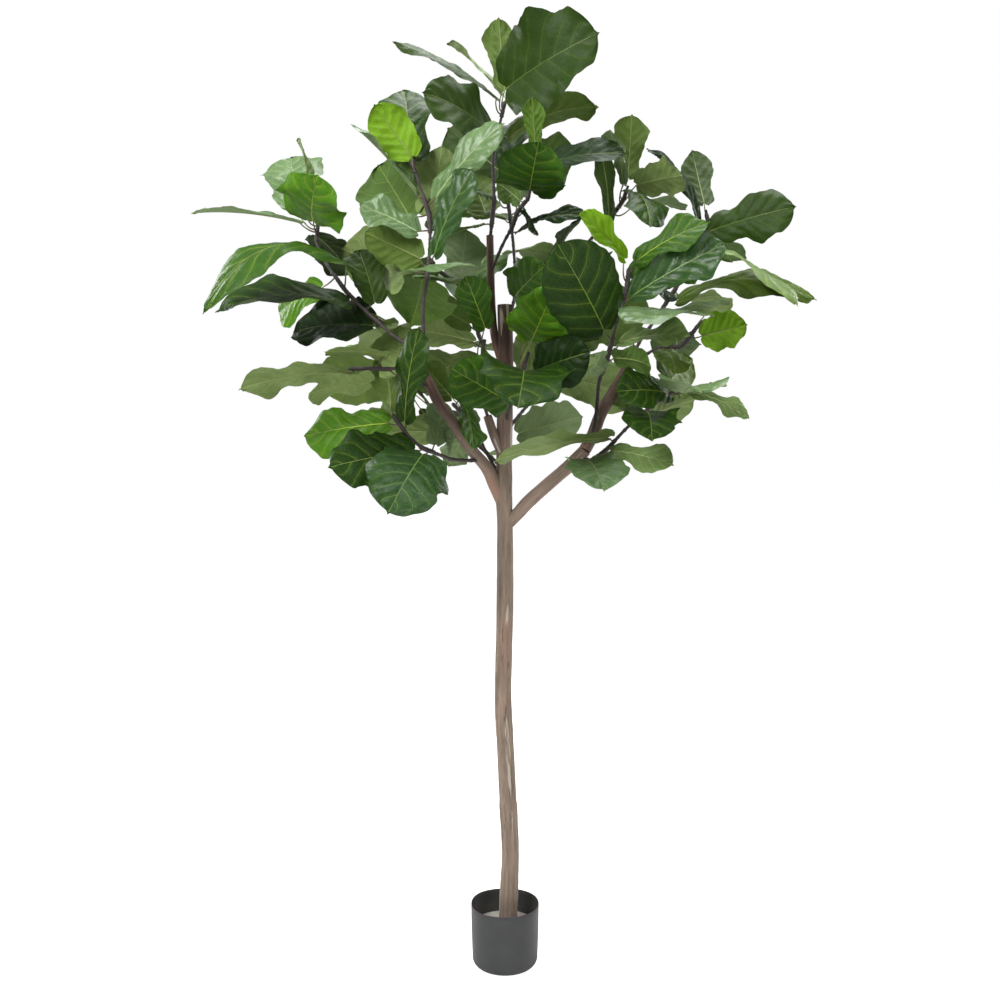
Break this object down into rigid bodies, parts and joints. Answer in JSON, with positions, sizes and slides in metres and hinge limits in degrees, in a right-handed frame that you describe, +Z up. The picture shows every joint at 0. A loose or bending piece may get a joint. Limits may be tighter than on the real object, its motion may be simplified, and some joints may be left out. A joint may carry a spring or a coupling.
{
  "type": "potted artificial fiddle leaf fig tree",
  "caption": "Tall potted fiddle leaf fig: a slim wood trunk with forked limbs, dark twigs and broad fiddle-shaped leaves, standing in a filled black nursery pot.",
  "frame": {"origin": "centre of the pot's foot, on the surface that the pot stands on", "axes": "+Z up along the trunk, -Y towards the viewer, +X to the viewer's right"},
  "size_m": [1.7066, 1.0476, 2.6567],
  "materials": {
    "pot_plastic": "thin black blow-moulded plastic, satin",
    "filler_cement": "pale grey cast cement, rough",
    "natural_wood": "grey-brown natural bark and weathered wood",
    "twig_plastic": "near-black moulded twig, satin",
    "leaf_fabric": "coated leaf fabric, satin green above and matt olive below"
  },
  "bodies": {
    "root": {"back_crown_twig": "twig_plastic", "back_left_twig": "twig_plastic", "back_low_twig": "twig_plastic", "back_right_twig": "twig_plastic", "crown_right_twig": "twig_plastic", "crown_twig": "twig_plastic", "far_left_twig": "twig_plastic", "far_right_twig": "twig_plastic", "filler": "filler_cement", "front_twig": "twig_plastic", "inner_left_twig": "twig_plastic", "inner_low_twig": "twig_plastic", "leader": "natural_wood", "leaves_back_crown": "leaf_fabric", "leaves_back_left": "leaf_fabric", "leaves_back_low": "leaf_fabric", "leaves_back_right": "leaf_fabric", "leaves_crown_low": "leaf_fabric", "leaves_crown_middle": "leaf_fabric", "leaves_crown_right_end": "leaf_fabric", "leaves_crown_right_low": "leaf_fabric", "leaves_crown_top": "leaf_fabric", "leaves_far_left_low": "leaf_fabric", "leaves_far_left_middle": "leaf_fabric", "leaves_far_left_top": "leaf_fabric", "leaves_far_right_low": "leaf_fabric", "leaves_far_right_top": "leaf_fabric", "leaves_front": "leaf_fabric", "leaves_inner_left": "leaf_fabric", "leaves_inner_low": "leaf_fabric", "leaves_left_centre": "leaf_fabric", "leaves_left_crown": "leaf_fabric", "leaves_left_tier": "leaf_fabric", "leaves_left_upper": "leaf_fabric", "leaves_low_left_end": "leaf_fabric", "leaves_low_left_middle": "leaf_fabric", "leaves_low_right_end": "leaf_fabric", "leaves_low_right_middle": "leaf_fabric", "leaves_low_right_start": "leaf_fabric", "leaves_outer_right": "leaf_fabric", "leaves_right_middle": "leaf_fabric", "leaves_right_upper": "leaf_fabric", "leaves_stub": "leaf_fabric", "leaves_upper_right_end": "leaf_fabric", "leaves_upper_right_low": "leaf_fabric", "left_limb": "natural_wood", "left_main_twig": "twig_plastic", "low_left_twig": "twig_plastic", "low_right_twig": "twig_plastic", "nursery_pot": "pot_plastic", "outer_left_twig": "twig_plastic", "outer_right_twig": "twig_plastic", "right_limb_lower": "natural_wood", "right_limb_upper": "natural_wood", "right_main_twig": "twig_plastic", "stub_branch": "natural_wood", "stub_twig": "twig_plastic", "trunk": "natural_wood", "upper_right_twig": "twig_plastic"}
  },
  "joints": []
}
